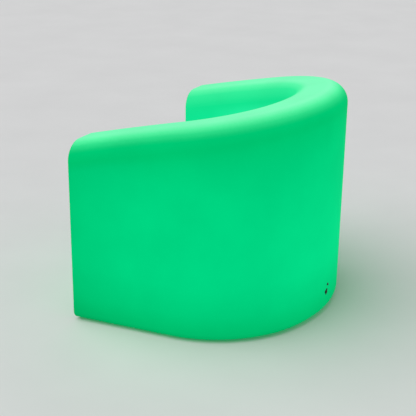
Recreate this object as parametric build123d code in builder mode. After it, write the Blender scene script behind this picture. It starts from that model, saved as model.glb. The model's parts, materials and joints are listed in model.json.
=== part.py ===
"""Light-up tub seat: a hollow moulded armchair that glows from a rechargeable light unit in its base.

Sizes are in millimetres. The seat faces -Y and +Z is up. The origin lies on the floor, under the
middle of the seat's outer box. Left and right are the sitter's, so +X is the left arm.
"""

import math
import os

from build123d import *

# Moulded seat, outside form
seat_width = 800.0  # across the arm fronts
seat_depth = 598.0  # flat front to the back of the moulding
arm_height = 513.5  # floor to the rim's crest line at the front face
back_height = 640.0  # floor to the rim's crest line at the back face, where the rounding takes it away
rim_bow = 6.0  # rise of the rim's side view above a straight line
arm_thickness = 157.0  # outer wall to inner wall
arm_splay = 5.5  # degrees that each arm opens outwards, in plan, towards the front
corner_radius = 332.0  # outer plan radius where an arm turns into the back
back_radius = 449.0  # outer plan radius of the back
rim_radius = 52.0  # rounding of the rim's two edges
base_radius = 20.0  # rounding of the outer bottom edge
front_radius = 6.0  # rounding round the flat front face
seat_height = 372.0  # floor to the seat near its front
seat_fall = 14.0  # drop of the seat from front to back
seat_roll = 50.0  # length of the seat's rolled front edge
seat_roll_radius = 90.0
seat_roll_angle = 45.0  # degrees that the seat's front edge turns down
seat_corner_radius = 30.0  # hollow rounding between the seat and the inner wall
shell_wall = 5.0  # thickness of the moulded skin
rim_share = 0.48  # most of the arm's thickness that one rim rounding takes

# Clearances
snug_clearance = 0.06  # round a piece that closes its hole
fit_clearance = 0.1  # round a piece that is fixed in its hole
run_clearance = 0.3  # round a piece that moves

# Screws: shares of a head that its key socket takes, and of a blind hole that its screw fills
key_radius_share = 0.45
key_depth_share = 0.5
screw_reach_share = 0.8
hex_sides = 6

# Feet and breather in the underside
foot_height = 5.0
foot_radius = 20.0
foot_edge = 75.0  # outer wall to a foot's middle
foot_boss_radius = 9.0
foot_boss_height = 20.0
foot_screw_radius = 2.5
foot_screw_length = 14.0
foot_screw_head_radius = 4.5
foot_screw_head_height = 2.2
foot_screw_head_sink = 3.0  # depth of the foot's counterbore
breather_radius = 6.0
breather_head_radius = 9.0
breather_head_height = 2.0
breather_stub = 4.0  # how far the breather reaches into the hollow
breather_bore_radius = 1.2
breather_offset = 170.0  # light unit's middle to the breather

# Light unit's housing, let into the underside from below
unit_y = 30.0  # unit's middle, behind the middle of the seat's box
recess_depth = 12.0
recess_gap = 3.0
opening_gap = 1.5
flange_radius = 98.0
flange_thickness = 4.0
housing_radius = 72.0
housing_wall = 3.0
unit_gasket_thickness = 2.0
unit_screw_circle = 86.0
unit_screw_count = 6
unit_screw_radius = 2.5
unit_screw_grip = 8.0  # length of thread in the insert
unit_screw_head_radius = 4.5
unit_screw_head_height = 3.0
insert_radius = 3.8
insert_length = 10.0
insert_boss_radius = 9.0
insert_boss_cap = 4.0  # skin over the blind end of each insert

# Battery
cell_radius = 9.2
cell_length = 65.0
cell_pitch = 20.0
cell_seat = 9.0  # depth that a cell sinks into its tray
cell_clearance = 0.2
battery_y = -29.0  # battery's middle, from the unit's middle
tray_floor = 3.0
tray_rim = 2.0
link_width = 8.0
link_overlap = 6.0
link_thickness = 0.4
pad_thickness = 4.0

# Control board
board_width = 44.0
board_length = 50.0
board_thickness = 1.6
board_y = 37.0  # board's middle, from the unit's middle
board_hole_edge = 4.0  # board's long edges to its holes
board_hole_end = 14.0  # board's ends to its holes
standoff_height = 8.0
standoff_radius = 2.75
board_screw_radius = 1.25
board_screw_grip = 5.0
board_screw_head_radius = 2.3
board_screw_head_height = 1.6
chip_sizes = [(10.0, 10.0, 1.6), (7.0, 6.0, 2.4), (7.0, 6.0, 2.4), (11.0, 11.0, 5.5)]
chip_places = [(-10.0, -6.0), (-4.0, -19.0), (6.0, -19.0), (9.0, 2.0)]
connector_size = (11.0, 7.0, 8.0)
connector_edge = 6.0  # board's edge to the connectors' middle

# Deck, light tower and dome
deck_thickness = 4.0
deck_gasket_thickness = 1.0
deck_post_radius = 5.0
deck_post_overlap = 2.0
deck_post_count = 4
deck_screw_radius = 1.75
deck_screw_grip = 12.0
deck_screw_head_radius = 3.2
deck_screw_head_height = 2.2
tower_sides = 6
tower_flats = 36.0  # across the flats of the tower
tower_height = 90.0
tower_screw_radius = 3.0
tower_screw_grip = 14.0
tower_screw_head_radius = 5.0
tower_screw_head_height = 4.0
strip_width = 16.0
strip_length = 78.0
strip_thickness = 1.6
lamp_size = 5.0
lamp_height = 1.6
lamp_pitch = 15.0
lamp_count = 5
dome_radius = 36.0
dome_wall = 2.5
dome_height = 112.0
dome_flange_radius = 46.5
dome_flange_thickness = 3.0
dome_seal_width = 4.0
dome_seal_thickness = 1.5
dome_screw_circle = 42.0
dome_screw_count = 4
receiver_size = (9.0, 7.0, 8.0)
receiver_lens_radius = 2.2
receiver_lens_share = 0.9  # share of the lens's radius that is rounded
receiver_circle = 60.0  # unit's middle to the receiver
receiver_angle = 205.0

# Port at the foot of the back: push button and charging socket
port_flat_depth = 1.5  # flat cut into the curved back, at its middle
port_flat_width = 74.0
port_flat_height = 66.0
port_flat_z = 70.0
port_wall = 6.0
button_x = -3.5
button_z = 80.5
button_flange_radius = 4.1
button_stem_radius = 1.7
button_stand = 1.6  # how far the stem stands out of its flange
button_travel = 1.2
button_collar_radius = 2.3
button_collar_length = 1.2
spring_pressed = 3.6  # spring's length when the button is pressed
spring_wire = 0.4
contact_length = 3.0
terminal_radius = 2.2
terminal_length = 5.0
socket_x = 10.0
socket_z = 62.0
socket_flange_radius = 4.6
socket_bore_radius = 2.95
socket_bore_depth = 9.5
port_flange_thickness = 1.0
port_barrel_radius = 3.6
port_edge_radius = 0.4  # rounding of the flanges and the button
port_seal_thickness = 0.6
port_nut_radius = 6.0
port_nut_thickness = 2.5
cap_radius = 4.6
cap_thickness = 1.6
cap_edge_radius = 0.8
cap_plug_length = 1.2
cap_lift = 0.1  # closed cap to the socket's flange
strap_width = 2.8
strap_thickness = 1.0
tab_length = 3.5  # cap's edge to the end of its pull tab
tab_width = 5.0
anchor_thickness = 1.0
hinge_reach = 9.5  # socket's middle to the cap's hinge
hinge_lift = 1.9  # port flat to the cap's hinge
bead_radius = 0.7
clip_wall = 0.5
clip_start = 10.0  # degrees of the clip's arc round the bead
clip_end = 180.0

# Leads from the board to the port
lead_radius = 2.0
lead_bend = 20.0
lead_loop = 45.0  # rise of the leads above the deck
lead_drop_gap = 20.0  # recess to the leads' drop
lead_run_lift = 5.0  # hollow's floor to the leads
lead_rise_gap = 30.0  # port terminals to the leads' rise
lead_clip_length = 10.0
lead_clip_wall = 3.0
lead_clip_gap = 0.5  # bend of a lead to the nearer clip
gland_hex_radius = 6.2
gland_hex_height = 5.0
gland_nut_radius = 5.0
gland_nut_height = 8.0
gland_taper = 8.0  # degrees
gland_shank_radius = 4.0
gland_shank_length = 10.0

# Drawing sizes: how far cutting shapes run past the seat, and the least rounding
overrun = 80.0
least_radius = 1.0

# Levels and places worked out from the sizes above
port_stand = port_seal_thickness + anchor_thickness + port_flange_thickness + cap_lift + cap_thickness
back_y = (seat_depth - (port_stand - port_flat_depth)) / 2
front_y = back_y - seat_depth
half_width = seat_width / 2
inner_floor = foot_height + shell_wall
splay = math.radians(arm_splay)

# The corner arc touches both the arm's straight side and the back arc
back_centre_y = back_y - back_radius
reach_x = half_width - corner_radius * math.cos(splay)
reach_y = front_y - corner_radius * math.sin(splay) - back_centre_y
slack = reach_y * math.cos(splay) - reach_x * math.sin(splay)
arm_length = -slack + math.sqrt(
    slack**2 - reach_x**2 - reach_y**2 + (back_radius - corner_radius) ** 2
)
corner_x = reach_x - arm_length * math.sin(splay)
corner_y = back_centre_y + reach_y + arm_length * math.cos(splay)
join_angle = math.degrees(math.atan2(corner_y - back_centre_y, corner_x))


def plan_face(inset, front):
    """Plan outline of the moulding, inset from its outer wall and closed straight across at front."""
    corner = corner_radius - inset
    turn = join_angle - arm_splay
    side_x = corner_x + corner * math.cos(splay)
    side_y = corner_y + corner * math.sin(splay)
    nose_x = side_x + (side_y - front) * math.tan(splay)
    with BuildSketch() as plan:
        with BuildLine():
            Line((nose_x, front), (side_x, side_y))
            CenterArc((corner_x, corner_y), corner, arm_splay, turn)
            CenterArc((0, back_centre_y), back_radius - inset, join_angle, 180 - 2 * join_angle)
            CenterArc((-corner_x, corner_y), corner, 180 - join_angle, turn)
            Line((-side_x, side_y), (-nose_x, front))
            Line((-nose_x, front), (nose_x, front))
        make_face()
    return plan.sketch


def rim_z(y):
    """Height of the rim's crest at y: a shallow bow from the arm fronts up to the back."""
    share = (y - front_y) / seat_depth
    return arm_height + (back_height - arm_height) * share + 4 * rim_bow * share * (1 - share)


def seat_form(inset):
    """The moulding's form as one solid, with every face set in by inset."""
    long_front = front_y - overrun
    crest_y = front_y + seat_roll
    end_y = back_y + overrun
    slope = seat_fall / (back_y - crest_y)
    with BuildPart() as well:
        with BuildSketch():
            add(plan_face(arm_thickness - inset, long_front - overrun))
        extrude(amount=back_height + overrun)
        with BuildSketch(Plane.YZ):
            with BuildLine():
                deck_line = Line(
                    (end_y, seat_height - inset - slope * (end_y - crest_y)),
                    (crest_y, seat_height - inset),
                )
                roll_arc = JernArc(
                    deck_line @ 1, deck_line % 1, seat_roll_radius - inset, seat_roll_angle
                )
                fall_line = Line(roll_arc @ 1, (roll_arc @ 1) + (roll_arc % 1) * back_height)
                Polyline(
                    fall_line @ 1,
                    ((fall_line @ 1).X, -back_height),
                    (end_y, -back_height),
                    deck_line @ 0,
                )
            make_face()
        extrude(amount=seat_width, both=True, mode=Mode.SUBTRACT)
        walls = well.faces().filter_by(lambda face: abs(face.normal_at().Z) < 0.01).sort_by(Axis.Y)[1:]
        lower = well.faces().filter_by(lambda face: face.normal_at().Z < -0.1)
        fillet(walls.edges() & lower.edges(), seat_corner_radius + inset)

    with BuildPart() as form:
        with BuildSketch(Plane.XY.offset(foot_height + inset)):
            add(plan_face(inset, long_front))
        extrude(amount=back_height)
        with BuildSketch(Plane.YZ):
            with BuildLine():
                crest = ThreePointArc(
                    *[(y, rim_z(y) - inset) for y in (long_front - overrun, 0, end_y)]
                )
                Polyline(
                    crest @ 1,
                    (end_y, 2 * back_height),
                    (long_front - overrun, 2 * back_height),
                    crest @ 0,
                )
            make_face()
        extrude(amount=seat_width, both=True, mode=Mode.SUBTRACT)
        add(well.part, mode=Mode.SUBTRACT)
        cut_end = form.faces().sort_by(Axis.Y)[0]
        rim_round = min(rim_radius, rim_share * arm_thickness) - inset
        fillet(form.faces().sort_by(Axis.Z)[-1].edges() - cut_end.edges(), rim_round)
        cut_end = form.faces().sort_by(Axis.Y)[0]
        base_round = max(base_radius - inset, least_radius)
        fillet(form.faces().sort_by(Axis.Z)[0].edges() - cut_end.edges(), base_round)
        split(bisect_by=Plane((0, front_y + inset, 0), z_dir=(0, 1, 0)), keep=Keep.TOP)
        front_round = max(front_radius - inset, least_radius)
        fillet(form.faces().sort_by(Axis.Y)[0].edges(), front_round)
    return form.part


def ring(plane, outer, inner, height):
    """Flat ring, such as a washer or gasket, standing on plane."""
    with BuildPart() as piece:
        with BuildSketch(plane):
            Circle(outer)
            Circle(inner, mode=Mode.SUBTRACT)
        extrude(amount=height)
    return piece


def socket_screws(places, head_radius, head_height, shank_radius, shank_length):
    """One socket-head screw on each plane, with its head above the plane and its shank below."""
    with BuildPart() as screws:
        with BuildSketch(*places):
            Circle(head_radius)
        extrude(amount=head_height)
        with BuildSketch(*places):
            Circle(shank_radius)
        extrude(amount=-shank_length)
        with BuildSketch(*[place.offset(head_height) for place in places]):
            RegularPolygon(key_radius_share * head_radius, hex_sides)
        extrude(amount=-key_depth_share * head_height, mode=Mode.SUBTRACT)
    return screws


def polar(radius, angle):
    """Point round the light unit's middle."""
    turn = math.radians(angle)
    return (radius * math.cos(turn), unit_y + radius * math.sin(turn))


def up(x, y, z):
    """Plane that faces upwards."""
    return Plane((x, y, z))


def down(x, y, z):
    """Plane that faces downwards."""
    return Plane((x, y, z), z_dir=(0, 0, -1))


def outward(x, y, z):
    """Plane that faces backwards, out of the seat's back."""
    return Plane((x, y, z), x_dir=(-1, 0, 0), z_dir=(0, 1, 0))


# Places of the feet: two under the arm fronts and two under the back's corners
diagonal = (corner_radius - foot_edge) * math.sqrt(0.5)
front_foot = (half_width - foot_edge, front_y + foot_edge)
back_foot = (corner_x + diagonal, corner_y + diagonal)
foot_points = [(side * x, y) for x, y in (front_foot, back_foot) for side in (1, -1)]

# Levels of the light unit
roof_z = foot_height + recess_depth
flange_top = roof_z - unit_gasket_thickness
flange_bottom = flange_top - flange_thickness
cell_bottom = flange_top + tray_floor
cell_top = cell_bottom + cell_length
deck_bottom = cell_top + link_thickness + pad_thickness
deck_top = deck_bottom + deck_thickness
housing_top = deck_bottom - deck_gasket_thickness
dome_bottom = deck_top + dome_seal_thickness
board_bottom = flange_top + standoff_height
board_top = board_bottom + board_thickness
recess_radius = flange_radius + recess_gap
opening_radius = housing_radius + opening_gap
unit_screw_points = [polar(unit_screw_circle, 360 / unit_screw_count * i) for i in range(unit_screw_count)]
deck_post_circle = housing_radius - housing_wall - deck_post_radius + deck_post_overlap
deck_post_points = [
    polar(deck_post_circle, 360 / deck_post_count * (i + 0.5)) for i in range(deck_post_count)
]
connector_y = unit_y + board_y + board_length / 2 - connector_edge

# Levels of the port, measured out from the flat
flat_y = back_y - port_flat_depth
port_inner_y = flat_y - port_wall
button_out = port_seal_thickness + port_flange_thickness
socket_in = port_seal_thickness + anchor_thickness
socket_out = socket_in + port_flange_thickness
spring_length = spring_pressed + button_travel
chamber_depth = button_collar_length + spring_length
button_rear = button_out - port_flange_thickness - chamber_depth - contact_length
socket_rear = socket_out - socket_bore_depth - contact_length

# Places of the two leads: each hangs in a plane of its own, from its connector to its terminal
lead_drop_y = unit_y + recess_radius + shell_wall + lead_drop_gap
lead_run_z = inner_floor + lead_run_lift
lead_rise_y = flat_y + min(button_rear, socket_rear) - terminal_length - lead_rise_gap
lead_top_z = deck_top + gland_hex_height + gland_nut_height + lead_loop
lead_ends = {
    "switch_lead": (button_x, flat_y + button_rear - terminal_length, button_z),
    "charge_lead": (socket_x, flat_y + socket_rear - terminal_length, socket_z),
}

# Hollow seat moulding
outer_form = seat_form(0)
hollow_form = seat_form(shell_wall)
with BuildPart() as seat_shell:
    add(outer_form)
    add(hollow_form, mode=Mode.SUBTRACT)
    with BuildSketch(up(0, unit_y, foot_height)):
        Circle(recess_radius + shell_wall)
    extrude(amount=recess_depth + shell_wall)
    with BuildSketch(*[up(x, y, roof_z) for x, y in unit_screw_points]):
        Circle(insert_boss_radius)
    extrude(amount=insert_length + insert_boss_cap)
    with BuildSketch(*[up(x, y, foot_height) for x, y in foot_points]):
        Circle(foot_boss_radius)
    extrude(amount=foot_boss_height)
    with BuildSketch(outward(0, port_inner_y, port_flat_z)):
        Rectangle(port_flat_width, port_flat_height)
    extrude(amount=port_wall - port_flat_depth)
    with BuildSketch(up(0, unit_y, foot_height)):
        Circle(recess_radius)
    extrude(amount=recess_depth, mode=Mode.SUBTRACT)
    with BuildSketch(up(0, unit_y, foot_height)):
        Circle(opening_radius)
    extrude(amount=recess_depth + 2 * shell_wall, mode=Mode.SUBTRACT)
    with BuildSketch(*[up(x, y, roof_z) for x, y in unit_screw_points]):
        Circle(insert_radius + fit_clearance)
    extrude(amount=insert_length, mode=Mode.SUBTRACT)
    with BuildSketch(*[up(x, y, foot_height) for x, y in foot_points]):
        Circle(foot_screw_radius + fit_clearance)
    extrude(amount=foot_screw_length, mode=Mode.SUBTRACT)
    with BuildSketch(up(breather_offset, unit_y, foot_height)):
        Circle(breather_radius + fit_clearance)
    extrude(amount=2 * shell_wall, mode=Mode.SUBTRACT)
    with BuildSketch(outward(0, flat_y, port_flat_z)):
        Rectangle(port_flat_width, port_flat_height)
    extrude(amount=overrun, mode=Mode.SUBTRACT)
    with BuildSketch(outward(button_x, flat_y, button_z), outward(socket_x, flat_y, socket_z)):
        Circle(port_barrel_radius + fit_clearance)
    extrude(amount=-2 * port_wall, mode=Mode.SUBTRACT)

# Feet, their screws and the breather
with BuildPart() as seat_feet:
    with BuildSketch(*[up(x, y, 0) for x, y in foot_points]):
        Circle(foot_radius)
    extrude(amount=foot_height)
    fillet(seat_feet.edges().filter_by(GeomType.CIRCLE).group_by(Axis.Z)[0], least_radius)
    with Locations(*[down(x, y, 0) for x, y in foot_points]):
        CounterBoreHole(
            foot_screw_radius + fit_clearance,
            foot_screw_head_radius + run_clearance,
            foot_screw_head_sink,
        )
foot_screws = socket_screws(
    [down(x, y, foot_screw_head_sink) for x, y in foot_points],
    foot_screw_head_radius,
    foot_screw_head_height,
    foot_screw_radius,
    foot_height - foot_screw_head_sink + foot_screw_length,
)
with BuildPart() as breather:
    with BuildSketch(down(breather_offset, unit_y, foot_height)):
        Circle(breather_head_radius)
    extrude(amount=breather_head_height)
    with BuildSketch(up(breather_offset, unit_y, foot_height)):
        Circle(breather_radius)
    extrude(amount=shell_wall + breather_stub)
    with BuildSketch(up(breather_offset, unit_y, 0)):
        Circle(breather_bore_radius)
    extrude(amount=inner_floor + breather_stub, mode=Mode.SUBTRACT)

# Housing of the light unit with its gasket, screws and brass inserts
with BuildPart() as unit_housing:
    with BuildSketch(up(0, unit_y, flange_bottom)):
        Circle(flange_radius)
    extrude(amount=flange_thickness)
    with BuildSketch(up(0, unit_y, flange_bottom)):
        Circle(housing_radius)
    extrude(amount=housing_top - flange_bottom)
    with BuildSketch(up(0, unit_y, flange_top)):
        Circle(housing_radius - housing_wall)
    extrude(amount=housing_top - flange_top, mode=Mode.SUBTRACT)
    with BuildSketch(*[up(x, y, flange_top) for x, y in deck_post_points]):
        Circle(deck_post_radius)
    extrude(amount=housing_top - flange_top)
    with BuildSketch(*[down(x, y, housing_top) for x, y in deck_post_points]):
        Circle(deck_screw_radius + fit_clearance)
    extrude(amount=deck_screw_grip, mode=Mode.SUBTRACT)
    with BuildSketch(*[up(x, y, flange_bottom) for x, y in unit_screw_points]):
        Circle(unit_screw_radius + run_clearance)
    extrude(amount=flange_thickness, mode=Mode.SUBTRACT)
with BuildPart() as unit_gasket:
    with BuildSketch(up(0, unit_y, flange_top)):
        Circle(flange_radius)
        Circle(opening_radius, mode=Mode.SUBTRACT)
    extrude(amount=unit_gasket_thickness)
    with BuildSketch(*[up(x, y, flange_top) for x, y in unit_screw_points]):
        Circle(unit_screw_radius + run_clearance)
    extrude(amount=unit_gasket_thickness, mode=Mode.SUBTRACT)
unit_screws = socket_screws(
    [down(x, y, flange_bottom) for x, y in unit_screw_points],
    unit_screw_head_radius,
    unit_screw_head_height,
    unit_screw_radius,
    flange_thickness + unit_gasket_thickness + unit_screw_grip,
)
with BuildPart() as unit_inserts:
    with BuildSketch(*[up(x, y, roof_z) for x, y in unit_screw_points]):
        Circle(insert_radius)
        Circle(unit_screw_radius + fit_clearance, mode=Mode.SUBTRACT)
    extrude(amount=insert_length)

# Battery: tray, cells, their links and the pad that holds them down
battery_centre = up(0, unit_y + battery_y, flange_top)
tray_side = 2 * cell_pitch + 2 * tray_rim
with BuildPart() as battery_tray:
    with BuildSketch(battery_centre):
        RectangleRounded(tray_side, tray_side, cell_radius)
    extrude(amount=tray_floor + cell_seat)
    with BuildSketch(battery_centre.offset(tray_floor)):
        with GridLocations(cell_pitch, cell_pitch, 2, 2):
            Circle(cell_radius + cell_clearance)
    extrude(amount=cell_seat, mode=Mode.SUBTRACT)
with BuildPart() as battery_cells:
    with BuildSketch(battery_centre.offset(tray_floor)):
        with GridLocations(cell_pitch, cell_pitch, 2, 2):
            Circle(cell_radius)
    extrude(amount=cell_length)
    fillet(battery_cells.edges().filter_by(GeomType.CIRCLE), least_radius)
with BuildPart() as cell_links:
    with BuildSketch(battery_centre.offset(tray_floor + cell_length)):
        with GridLocations(cell_pitch, 0, 2, 1):
            Rectangle(link_width, cell_pitch + 2 * link_overlap)
    extrude(amount=link_thickness)
with BuildPart() as battery_pad:
    with BuildSketch(battery_centre.offset(tray_floor + cell_length + link_thickness)):
        RectangleRounded(2 * cell_pitch, 2 * cell_pitch, cell_radius)
    extrude(amount=pad_thickness)

# Control board on its standoffs, with its chips and connectors
board_centre = up(0, unit_y + board_y, flange_top)
hole_span_x = board_width - 2 * board_hole_edge
hole_span_y = board_length - 2 * board_hole_end
hole_points = [
    (sx * hole_span_x / 2, unit_y + board_y + sy * hole_span_y / 2) for sx in (1, -1) for sy in (1, -1)
]
with BuildPart() as board_standoffs:
    with BuildSketch(*[up(x, y, flange_top) for x, y in hole_points]):
        RegularPolygon(standoff_radius, hex_sides)
        Circle(board_screw_radius + fit_clearance, mode=Mode.SUBTRACT)
    extrude(amount=standoff_height)
with BuildPart() as control_board:
    with BuildSketch(board_centre.offset(standoff_height)):
        RectangleRounded(board_width, board_length, board_hole_edge)
        with GridLocations(hole_span_x, hole_span_y, 2, 2):
            Circle(board_screw_radius + fit_clearance, mode=Mode.SUBTRACT)
    extrude(amount=board_thickness)
board_screws = socket_screws(
    [up(x, y, board_top) for x, y in hole_points],
    board_screw_head_radius,
    board_screw_head_height,
    board_screw_radius,
    board_thickness + board_screw_grip,
)
with BuildPart() as control_chips:
    for (chip_x, chip_y), (chip_width, chip_depth, chip_height) in zip(chip_places, chip_sizes):
        with BuildSketch(up(chip_x, unit_y + board_y + chip_y, board_top)):
            Rectangle(chip_width, chip_depth)
        extrude(amount=chip_height)
with BuildPart() as board_connectors:
    with BuildSketch(*[up(x, connector_y, board_top) for x in (button_x, socket_x)]):
        Rectangle(connector_size[0], connector_size[1])
    extrude(amount=connector_size[2])

# Deck over the housing, with its gasket and screws
deck_gasket = ring(
    up(0, unit_y, housing_top), housing_radius, housing_radius - housing_wall, deck_gasket_thickness
)
dome_screw_points = [polar(dome_screw_circle, 360 / dome_screw_count * i) for i in range(dome_screw_count)]
with BuildPart() as unit_deck:
    with BuildSketch(up(0, unit_y, deck_bottom)):
        Circle(housing_radius)
        Circle(tower_screw_radius + fit_clearance, mode=Mode.SUBTRACT)
    extrude(amount=deck_thickness)
    with BuildSketch(*[up(x, y, deck_bottom) for x, y in deck_post_points]):
        Circle(deck_screw_radius + run_clearance)
    extrude(amount=deck_thickness, mode=Mode.SUBTRACT)
    with BuildSketch(*[up(x, y, deck_bottom) for x, y in dome_screw_points]):
        Circle(deck_screw_radius + fit_clearance)
    extrude(amount=deck_thickness, mode=Mode.SUBTRACT)
    with BuildSketch(*[up(x, connector_y, deck_bottom) for x in (button_x, socket_x)]):
        Circle(gland_shank_radius + fit_clearance)
    extrude(amount=deck_thickness, mode=Mode.SUBTRACT)
deck_screws = socket_screws(
    [up(x, y, deck_top) for x, y in deck_post_points],
    deck_screw_head_radius,
    deck_screw_head_height,
    deck_screw_radius,
    deck_thickness + deck_gasket_thickness + screw_reach_share * deck_screw_grip,
)

# Light tower with a lamp strip on each of its sides, under a clear dome
with BuildPart() as light_tower:
    with BuildSketch(up(0, unit_y, deck_top)):
        RegularPolygon(tower_flats / 2, tower_sides, major_radius=False)
    extrude(amount=tower_height)
    with BuildSketch(up(0, unit_y, deck_top)):
        Circle(tower_screw_radius + fit_clearance)
    extrude(amount=tower_screw_grip, mode=Mode.SUBTRACT)
tower_screw = socket_screws(
    [down(0, unit_y, deck_bottom)],
    tower_screw_head_radius,
    tower_screw_head_height,
    tower_screw_radius,
    deck_thickness + screw_reach_share * tower_screw_grip,
)
strip_planes = []
for side in range(tower_sides):
    face_angle = 360 / tower_sides * (side + 0.5)
    face_x, face_y = polar(tower_flats / 2, face_angle)
    facing = Vector(1, 0, 0).rotate(Axis.Z, face_angle)
    strip_planes.append(
        Plane((face_x, face_y, deck_top + tower_height / 2), x_dir=(0, 0, 1), z_dir=facing)
    )
with BuildPart() as lamp_strips:
    with BuildSketch(*strip_planes):
        Rectangle(strip_length, strip_width)
    extrude(amount=strip_thickness)
with BuildPart() as lamp_chips:
    with BuildSketch(*[plane.offset(strip_thickness) for plane in strip_planes]):
        with GridLocations(lamp_pitch, 0, lamp_count, 1):
            Rectangle(lamp_size, lamp_size)
    extrude(amount=lamp_height)
dome_inner = dome_radius - dome_wall
dome_seal = ring(up(0, unit_y, deck_top), dome_inner + dome_seal_width, dome_inner, dome_seal_thickness)
dome_shoulder = dome_height - dome_radius
with BuildPart() as light_dome:
    with BuildSketch(Plane((0, unit_y, dome_bottom), x_dir=(1, 0, 0), z_dir=(0, -1, 0))):
        with BuildLine():
            Polyline(
                (dome_inner, dome_shoulder),
                (dome_inner, 0),
                (dome_flange_radius, 0),
                (dome_flange_radius, dome_flange_thickness),
                (dome_radius, dome_flange_thickness),
                (dome_radius, dome_shoulder),
            )
            CenterArc((0, dome_shoulder), dome_radius, 0, 90)
            Line((0, dome_height), (0, dome_height - dome_wall))
            CenterArc((0, dome_shoulder), dome_inner, 0, 90)
        make_face()
    revolve(axis=Axis((0, unit_y, 0), (0, 0, 1)))
    with BuildSketch(*[up(x, y, dome_bottom) for x, y in dome_screw_points]):
        Circle(deck_screw_radius + run_clearance)
    extrude(amount=dome_flange_thickness, mode=Mode.SUBTRACT)
dome_screws = socket_screws(
    [up(x, y, dome_bottom + dome_flange_thickness) for x, y in dome_screw_points],
    deck_screw_head_radius,
    deck_screw_head_height,
    deck_screw_radius,
    dome_flange_thickness + dome_seal_thickness + deck_thickness,
)
receiver_x, receiver_y = polar(receiver_circle, receiver_angle)
with BuildPart() as remote_receiver:
    with BuildSketch(up(receiver_x, receiver_y, deck_top)):
        Rectangle(receiver_size[0], receiver_size[1])
    extrude(amount=receiver_size[2])
    with BuildSketch(up(receiver_x, receiver_y, deck_top + receiver_size[2])):
        Circle(receiver_lens_radius)
    extrude(amount=receiver_lens_radius)
    fillet(remote_receiver.faces().sort_by(Axis.Z)[-1].edges(), receiver_lens_share * receiver_lens_radius)

# Cable glands in the deck, the two leads and the clips that hold them to the hollow's floor
with BuildPart() as lead_glands:
    gland_planes = [up(x, connector_y, deck_top) for x in (button_x, socket_x)]
    with BuildSketch(*gland_planes):
        RegularPolygon(gland_hex_radius, hex_sides)
    extrude(amount=gland_hex_height)
    with BuildSketch(*[plane.offset(gland_hex_height) for plane in gland_planes]):
        Circle(gland_nut_radius)
    extrude(amount=gland_nut_height, taper=gland_taper)
    with BuildSketch(*gland_planes):
        Circle(gland_shank_radius)
    extrude(amount=-gland_shank_length)
    with BuildSketch(*[plane.offset(-gland_shank_length) for plane in gland_planes]):
        Circle(lead_radius + fit_clearance)
    extrude(amount=gland_shank_length + gland_hex_height + gland_nut_height, mode=Mode.SUBTRACT)
leads = {}
for lead_name, (lead_x, lead_end_y, lead_end_z) in lead_ends.items():
    side_plane = Plane((lead_x, 0, 0), x_dir=(0, 1, 0), z_dir=(1, 0, 0))
    with BuildPart() as lead:
        with BuildLine(side_plane) as route:
            FilletPolyline(
                (connector_y, board_top + connector_size[2]),
                (connector_y, lead_top_z),
                (lead_drop_y, lead_top_z),
                (lead_drop_y, lead_run_z),
                (lead_rise_y, lead_run_z),
                (lead_rise_y, lead_end_z),
                (lead_end_y, lead_end_z),
                radius=lead_bend,
            )
        with BuildSketch(Plane(route.line @ 0, z_dir=route.line % 0)):
            Circle(lead_radius)
        sweep()
    lead_length = sum(edge.length for edge in route.edges())
    fullness = lead.part.volume / (math.pi * lead_radius**2 * lead_length)
    print(lead_name, "length", round(lead_length, 1), "bend", lead_bend, "fullness", round(fullness, 4))
    leads[lead_name] = lead
clip_span = abs(socket_x - button_x) + 2 * (lead_radius + lead_clip_wall)
clip_height = lead_run_lift + lead_radius + lead_clip_wall
clip_margin = lead_bend + lead_clip_gap + lead_clip_length / 2
with BuildPart() as lead_clips:
    clip_planes = [
        outward((button_x + socket_x) / 2, y, inner_floor)
        for y in (lead_drop_y + clip_margin, lead_rise_y - clip_margin)
    ]
    with BuildSketch(*clip_planes):
        with Locations((0, clip_height / 2)):
            RectangleRounded(clip_span, clip_height, least_radius)
        with Locations((0, lead_run_lift)):
            with GridLocations(abs(socket_x - button_x), 0, 2, 1):
                Circle(lead_radius + fit_clearance, mode=Mode.SUBTRACT)
    extrude(amount=lead_clip_length / 2, both=True)

# Push button: body, sprung stem, contact block, nut and seal
button_plane = outward(button_x, flat_y, button_z)
chamber_radius = button_collar_radius + run_clearance
with BuildPart() as button_body:
    with BuildSketch(button_plane.offset(port_seal_thickness)):
        Circle(button_flange_radius)
    extrude(amount=port_flange_thickness)
    fillet(button_body.edges().sort_by(Axis.Y)[-1], port_edge_radius)
    with BuildSketch(button_plane.offset(button_rear)):
        Circle(port_barrel_radius)
    extrude(amount=port_seal_thickness - button_rear)
    with BuildSketch(button_plane.offset(button_rear)):
        Circle(chamber_radius)
    extrude(amount=chamber_depth + contact_length, mode=Mode.SUBTRACT)
    with BuildSketch(button_plane.offset(button_out)):
        Circle(button_stem_radius + run_clearance)
    extrude(amount=-port_flange_thickness, mode=Mode.SUBTRACT)
with BuildPart() as button_stem:
    with BuildSketch(button_plane.offset(button_out + button_stand)):
        Circle(button_stem_radius)
    extrude(amount=-(button_stand + port_flange_thickness + button_collar_length))
    fillet(button_stem.edges().sort_by(Axis.Y)[-1], port_edge_radius)
    with BuildSketch(button_plane.offset(button_out - port_flange_thickness)):
        Circle(button_collar_radius)
    extrude(amount=-button_collar_length)
spring_outer = button_stem_radius
spring_top = button_out - port_flange_thickness - button_collar_length
button_spring = ring(
    button_plane.offset(spring_top - spring_length), spring_outer, spring_outer - spring_wire, spring_length
)
with BuildPart() as button_contacts:
    with BuildSketch(button_plane.offset(button_rear)):
        Circle(chamber_radius - fit_clearance)
    extrude(amount=contact_length)
    with BuildSketch(button_plane.offset(button_rear)):
        Circle(terminal_radius)
    extrude(amount=-terminal_length)
button_seal = ring(
    button_plane, button_flange_radius, port_barrel_radius + fit_clearance, port_seal_thickness
)

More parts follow.
